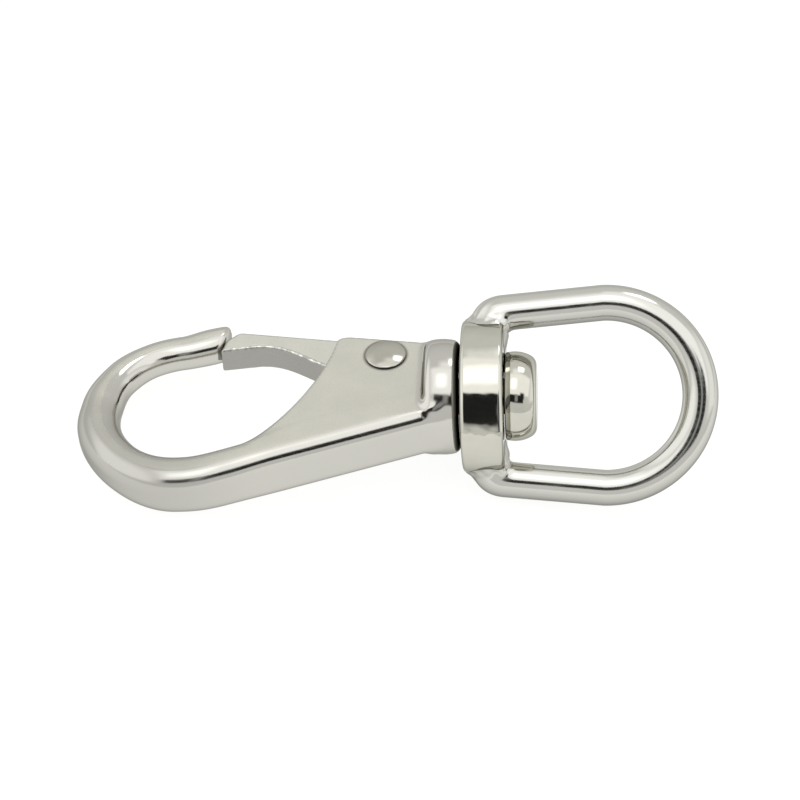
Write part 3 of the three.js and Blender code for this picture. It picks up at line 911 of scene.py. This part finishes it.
def make_spring(material):
    """The torsion spring: round wire swept along its path."""
    path = spring_path()
    ahead = np.gradient(path, axis=0)
    ahead /= np.linalg.norm(ahead, axis=1)[:, None]
    up = np.array([0.0, 0.0, 1.0])
    side = np.cross(ahead, up)
    side /= np.linalg.norm(side, axis=1)[:, None]
    rise = np.cross(side, ahead)
    angle = np.linspace(0, 2 * math.pi, WIRE_SIDES, endpoint=False)[None, :, None]
    rings = path[:, None] + WIRE_RADIUS * (np.cos(angle) * side[:, None] + np.sin(angle) * rise[:, None])
    points = rings.reshape(-1, 3)
    faces = []
    for i in range(len(path) - 1):
        here, there = i * WIRE_SIDES, (i + 1) * WIRE_SIDES
        for k in range(WIRE_SIDES):
            n = (k + 1) % WIRE_SIDES
            faces.append((here + k, here + n, there + n, there + k))
    faces.append(tuple(range(WIRE_SIDES))[::-1])
    faces.append(tuple((len(path) - 1) * WIRE_SIDES + k for k in range(WIRE_SIDES)))
    piece = make_piece("torsion_spring", points, faces, hook_to_row, None, material)
    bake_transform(piece)
    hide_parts("gate_spring")


def arc_points(centre_x, centre_radius, size, start, end, steps):
    """Part of a turned profile: an arc from start to end, in degrees from the X axis."""
    angles = np.radians(np.linspace(start, end, steps + 1))
    return [(centre_x + size * math.cos(a), centre_radius + size * math.sin(a)) for a in angles]


def crowned(back, middle, front, radius, crown, back_edge, front_edge):
    """Profile of a barrel-shaped head: a crown arc that runs smoothly into a rounded edge at each end."""
    back_turn = math.degrees(math.acos((back + back_edge - middle) / (crown - back_edge)))
    front_turn = math.degrees(math.acos((front - front_edge - middle) / (crown - front_edge)))
    back_rise = (crown - back_edge) * math.sin(math.radians(back_turn))
    front_rise = (crown - front_edge) * math.sin(math.radians(front_turn))
    profile = arc_points(back + back_edge, radius - crown + back_rise, back_edge, 180, back_turn, 6)
    profile += arc_points(middle, radius - crown, crown, back_turn, front_turn, 12)[1:]
    edge_radius = radius - crown + front_rise
    profile += arc_points(front - front_edge, edge_radius, front_edge, front_turn, 0, 12)[1:]
    return profile


def make_pin(material):
    """The swivel pin: peened tail in the slot, shank, and a button head in front of the ring."""
    profile = [(TAIL_BACK, 0), (TAIL_BACK, TAIL_RADIUS - TAIL_EDGE)]
    profile += arc_points(TAIL_BACK + TAIL_EDGE, TAIL_RADIUS - TAIL_EDGE, TAIL_EDGE, 180, 90, 5)
    profile += [(TAIL_FRONT, TAIL_RADIUS), (TAIL_FRONT, PIN_RADIUS), (PIN_HEAD_BACK, PIN_RADIUS)]
    ends = (PIN_HEAD_BACK, PIN_HEAD_MIDDLE, PIN_HEAD_FRONT)
    profile += crowned(*ends, PIN_HEAD_RADIUS, PIN_HEAD_CROWN, PIN_BACK_EDGE, PIN_FRONT_EDGE)
    profile += [(PIN_HEAD_FRONT, radius) for radius in (3.0, 1.2, 0)]
    points, faces = closed_turned(profile, PIN_SIDES)
    # Painted shade: the shank dark inside the ring, up to the head's back.
    painted_shade = {"painted_shade": 1 - smooth_step(points[:, 0], PIN_HEAD_BACK, PIN_HEAD_BACK + 0.25)}
    piece = make_piece("headed_pin", points, faces, hook_to_row, "hook", material, painted_shade)
    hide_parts("swivel_pin")


def make_ring(material):
    """The ring, turned as a closed loop of its profile, with painted shade by the neck and under the pin's
    head.
    """
    edge = RING_EDGE
    profile = [(RING_BACK, radius) for radius in (RING_BORE, 5.4, 7.8, 8.4, 9, 9.6)]
    profile += arc_points(RING_BACK + edge, RING_RADIUS - edge, edge, 180, 90, 8)
    profile += [(x, RING_RADIUS) for x in np.linspace(RING_BACK + edge, RING_FRONT - edge, 8)[1:-1]]
    profile += arc_points(RING_FRONT - edge, RING_RADIUS - edge, edge, 90, 0, 8)
    profile += [(RING_FRONT, radius) for radius in (9.4, 8, 6.9, 6.45, 5.8, 5.2, RING_BORE)]
    points, faces = turned(profile, RING_SIDES)
    last = (len(profile) - 1) * RING_SIDES
    for k in range(RING_SIDES):
        n = (k + 1) % RING_SIDES
        faces.append((last + k, k, n, last + n))
    across = np.hypot(points[:, 1], points[:, 2])
    # Painted shade: dark on the back face by the neck and on the front face under the pin's head.
    back = 1 - smooth_step(points[:, 0], RING_BACK, RING_BACK + 0.3)
    by_neck = 1 - 0.75 * smooth_step(across, NECK_RADIUS - 0.2, NECK_RADIUS + 1.6)
    shade_under_head = 1 - smooth_step(across, PIN_HEAD_RADIUS - 1, PIN_HEAD_RADIUS + 0.2)
    painted_shade = {"painted_shade": np.maximum(back * by_neck, shade_under_head)}
    piece = make_piece("eye_ring", points, faces, eye_to_row, "eye", material, painted_shade)
    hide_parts("swivel_ring")


def make_bail(material):
    """The rod with both its welds, as one piece."""
    points, faces = surface_net(bail_field, (0.2, -15.8, -3.9), (35.6, 15.8, 3.9), BAIL_STEP)
    piece = make_piece("bail_rod", points, faces, eye_to_row, "eye", material)
    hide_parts("bail", "bail_weld_far", "bail_weld_near")


def eye_matrix():
    """The eye's own frame: the hook frame turned about the swivel axis to where the bail lies."""
    low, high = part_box("bail_weld_far")
    weld = row_to_hook @ ((low + high) / 2)
    return hook_to_row @ Matrix.Rotation(math.atan2(weld.z, weld.y), 4, "X")


# ---- stage: floor, surroundings, lights, camera ----

# Angles in degrees, distances in metres, the lens in mm.
CAMERA_AZIMUTH = -2.02
CAMERA_ELEVATION = 43.59
CAMERA_ROLL = 6.82
CAMERA_DISTANCE = 0.4416
CAMERA_AIM = Vector((0.00016, -0.00027, 0.01181))
CAMERA_LENS = 143.8


def make_camera():
    """The photo's point of view, rolled as the photo is on its page."""
    a, e = math.radians(CAMERA_AZIMUTH), math.radians(CAMERA_ELEVATION)
    back = Vector((math.sin(a) * math.cos(e), -math.cos(a) * math.cos(e), math.sin(e)))
    level = Vector((math.cos(a), math.sin(a), 0))
    rise = back.cross(level)
    roll = math.radians(CAMERA_ROLL)
    right = level * math.cos(roll) + rise * math.sin(roll)
    up = back.cross(right)
    camera = bpy.data.objects.new("camera", bpy.data.cameras.new("camera"))
    turn = Matrix((right, up, back)).transposed().to_4x4()
    camera.matrix_world = Matrix.Translation(CAMERA_AIM + back * CAMERA_DISTANCE) @ turn
    camera.data.lens = CAMERA_LENS
    camera.data.clip_start = 0.01
    bpy.context.scene.collection.objects.link(camera)
    bpy.context.scene.camera = camera


FLOOR_SIZE = 3.0
FLOOR_LIGHT = (0.122, 0.122, 0.121)
FLOOR_DARK = (0.119, 0.119, 0.118)
FLOOR_GLOW = 7.7


def make_floor():
    """A glowing white paper that reaches past the picture on every side."""
    mesh = bpy.data.meshes.new("floor")
    corners = [(x * FLOOR_SIZE, y * FLOOR_SIZE, 0) for x, y in ((-1, -1), (1, -1), (1, 1), (-1, 1))]
    mesh.from_pydata(corners, [], [(0, 1, 2, 3)])
    floor = bpy.data.objects.new("floor", mesh)
    bpy.context.scene.collection.objects.link(floor)
    n = Nodes("floor_paper")
    shade = n.mix_colour(n.spread(n.noise(60, 2), 0, 1), FLOOR_LIGHT, FLOOR_DARK)
    n.tree.links.new(shade, n.shader.inputs["Base Color"])
    n.shader.inputs["Roughness"].default_value = 0.9
    n.shader.inputs["Specular IOR Level"].default_value = 0.1
    n.tree.links.new(shade, n.shader.inputs["Emission Color"])
    n.shader.inputs["Emission Strength"].default_value = FLOOR_GLOW
    floor.data.materials.append(n.material)


def sky_patch(n, side, pitch, centre_side, centre_pitch, half_side, half_pitch, soft):
    """1 inside a patch of the surroundings and 0 outside it, in degrees, with soft edges."""
    inside = []
    for value, centre, half in ((side, centre_side, half_side), (pitch, centre_pitch, half_pitch)):
        size = n.maths("ABSOLUTE", n.maths("SUBTRACT", value, math.radians(centre)))
        inside.append(n.spread(size, 1, 0, math.radians(half - soft), math.radians(half + soft)))
    return n.maths("MULTIPLY", *inside)


class WorldNodes(Nodes):
    """The same helpers, on the world's nodes."""

    def __init__(self, world):
        world.use_nodes = True
        self.tree = world.node_tree
        self.place = self.tree.nodes.new("ShaderNodeTexCoord").outputs["Generated"]


TENT_LEVEL = 0.86
TENT_COLOUR = (1, 1, 0.985)
BLACK = (0, 0, 0)
# The surroundings are a pale tent. Each patch: side, pitch, half sizes, softness (degrees), grey level.
# Side is 0 straight ahead and 90 towards +X; pitch is 0 towards -Y, 90 overhead and 180 towards +Y.
TENT_PATCHES = (
    (8, 76, 38, 29, 4, 1.4),
    (-9, 76, 10, 13, 5, 2.1),
    (0, 110, 12, 8, 5, 1.3),
    (12, 119, 7, 6, 3, 5.0),
    (-72, 80, 36, 60, 9, 1.35),
    (78, 90, 28, 60, 8, 1.2),
    (2.5, 37, 25, 10, 1.5, 0.02),
    (22, 46, 7, 8, 3, 0.03),
    (3, 39, 5, 9, 2, 0.38),
)


def make_world():
    """The tent that the steel reflects."""
    world = bpy.data.worlds.new("studio")
    bpy.context.scene.world = world
    n = WorldNodes(world)
    parts = n.add("ShaderNodeSeparateXYZ", {0: n.place}).outputs
    ahead = n.maths("MULTIPLY", parts[1], -1.0)
    pitch = n.maths("ARCTAN2", parts[2], ahead)
    side = n.maths("ARCSINE", parts[0])
    shade = n.spread(parts[2], 0.92 * TENT_LEVEL, TENT_LEVEL, 0.0, 0.6)
    colour = n.mix_colour(shade, BLACK, TENT_COLOUR)
    for centre_side, centre_pitch, half_side, half_pitch, soft, level in TENT_PATCHES:
        inside = sky_patch(n, side, pitch, centre_side, centre_pitch, half_side, half_pitch, soft)
        colour = n.mix_colour(inside, colour, (level, level, level))
    background = n.tree.nodes["Background"]
    n.tree.links.new(colour, background.inputs["Color"])
    background.inputs["Strength"].default_value = 1.0


make_camera()
make_floor()
make_world()
bpy.context.scene.view_settings.view_transform = "Standard"

eye_to_row = eye_matrix()
make_hook_body(satin_and_polish("cast_steel", CHEEK_SATIN, CAST_POLISH, 0.08))
make_gate(satin_and_polish("gate_steel", GATE_SATIN, GATE_SIDE, 0.26))
make_rivet(polished_steel("rivet_steel", 0.1, tint=RIVET_POLISH, dents=1.0))
make_spring(wire_steel("spring_wire"))
make_pin(polished_steel("pin_steel", 0.07))
make_ring(polished_steel("ring_steel", 0.06, dents=1.0, lean=flat_spot))
make_bail(rod_steel())

bpy.context.view_layer.update()
